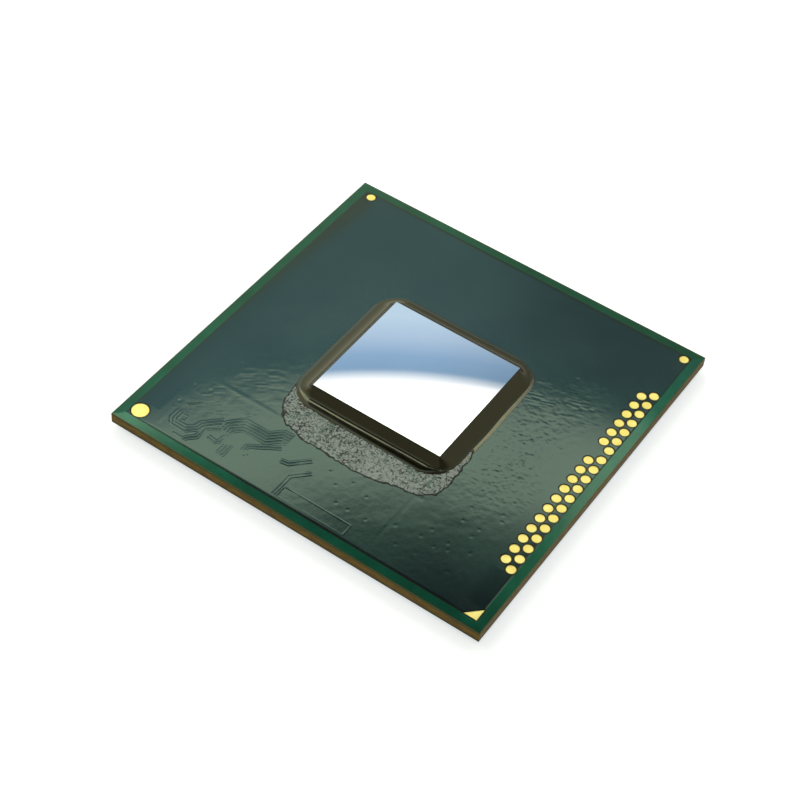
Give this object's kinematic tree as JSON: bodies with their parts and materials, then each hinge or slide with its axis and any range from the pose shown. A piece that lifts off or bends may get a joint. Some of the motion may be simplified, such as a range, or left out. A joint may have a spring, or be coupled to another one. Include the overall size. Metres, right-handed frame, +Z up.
{
  "type": "processor package",
  "caption": "Square ball-grid chip package with a bare mirror-polished die, underfill fillet, gold test pads and a green laminate substrate.",
  "frame": {"origin": "middle of the package on the seating plane that the solder balls touch", "axes": "+Z up from the balls to the bare die; X and Y along the substrate's sides, with the pin-one mark in the corner at -X +Y and the test pads along the -X side"},
  "size_m": [0.025, 0.025, 0.0018],
  "materials": {
    "silicon": "mirror-polished silicon",
    "die_wiring": "thin metal and glass layers",
    "underfill": "glossy dark brown cured resin",
    "residue": "rough grey resin skin with dark pits",
    "solder_mask": "translucent green lacquer, dark slate over copper",
    "laminate": "sawn glass-cloth laminate, amber brown",
    "film": "sawn build-up film, olive brown",
    "copper": "copper foil and plating",
    "plug_resin": "filled resin",
    "gold": "satin gold plating",
    "solder": "bright tin solder"
  },
  "bodies": {
    "root": {"silicon_die": "silicon", "die_wiring": "die_wiring", "underfill": "underfill", "dispense_tongue": "residue", "solder_mask_top": "solder_mask", "solder_mask_bottom": "solder_mask", "core_laminate": "laminate", "film_top_inner": "film", "film_top_middle": "film", "film_top_outer": "film", "film_bottom_inner": "film", "film_bottom_middle": "film", "film_bottom_outer": "film", "core_copper_top": "copper", "core_copper_bottom": "copper", "copper_top_inner": "copper", "copper_top_outer": "copper", "copper_top_face": "copper", "copper_bottom_inner": "copper", "copper_bottom_outer": "copper", "copper_bottom_face": "copper", "via_barrels": "copper", "microvias_top_inner": "copper", "microvias_top_middle": "copper", "microvias_top_outer": "copper", "microvias_bottom_inner": "copper", "microvias_bottom_middle": "copper", "microvias_bottom_outer": "copper", "via_plugs": "plug_resin", "test_pads_outer_row": "gold", "test_pads_inner_row": "gold", "alignment_target": "gold", "alignment_dots": "gold", "pin_one_mark": "gold", "flip_chip_bumps": "solder", "corner_balls": "solder", "signal_balls": "solder"}
  },
  "joints": []
}
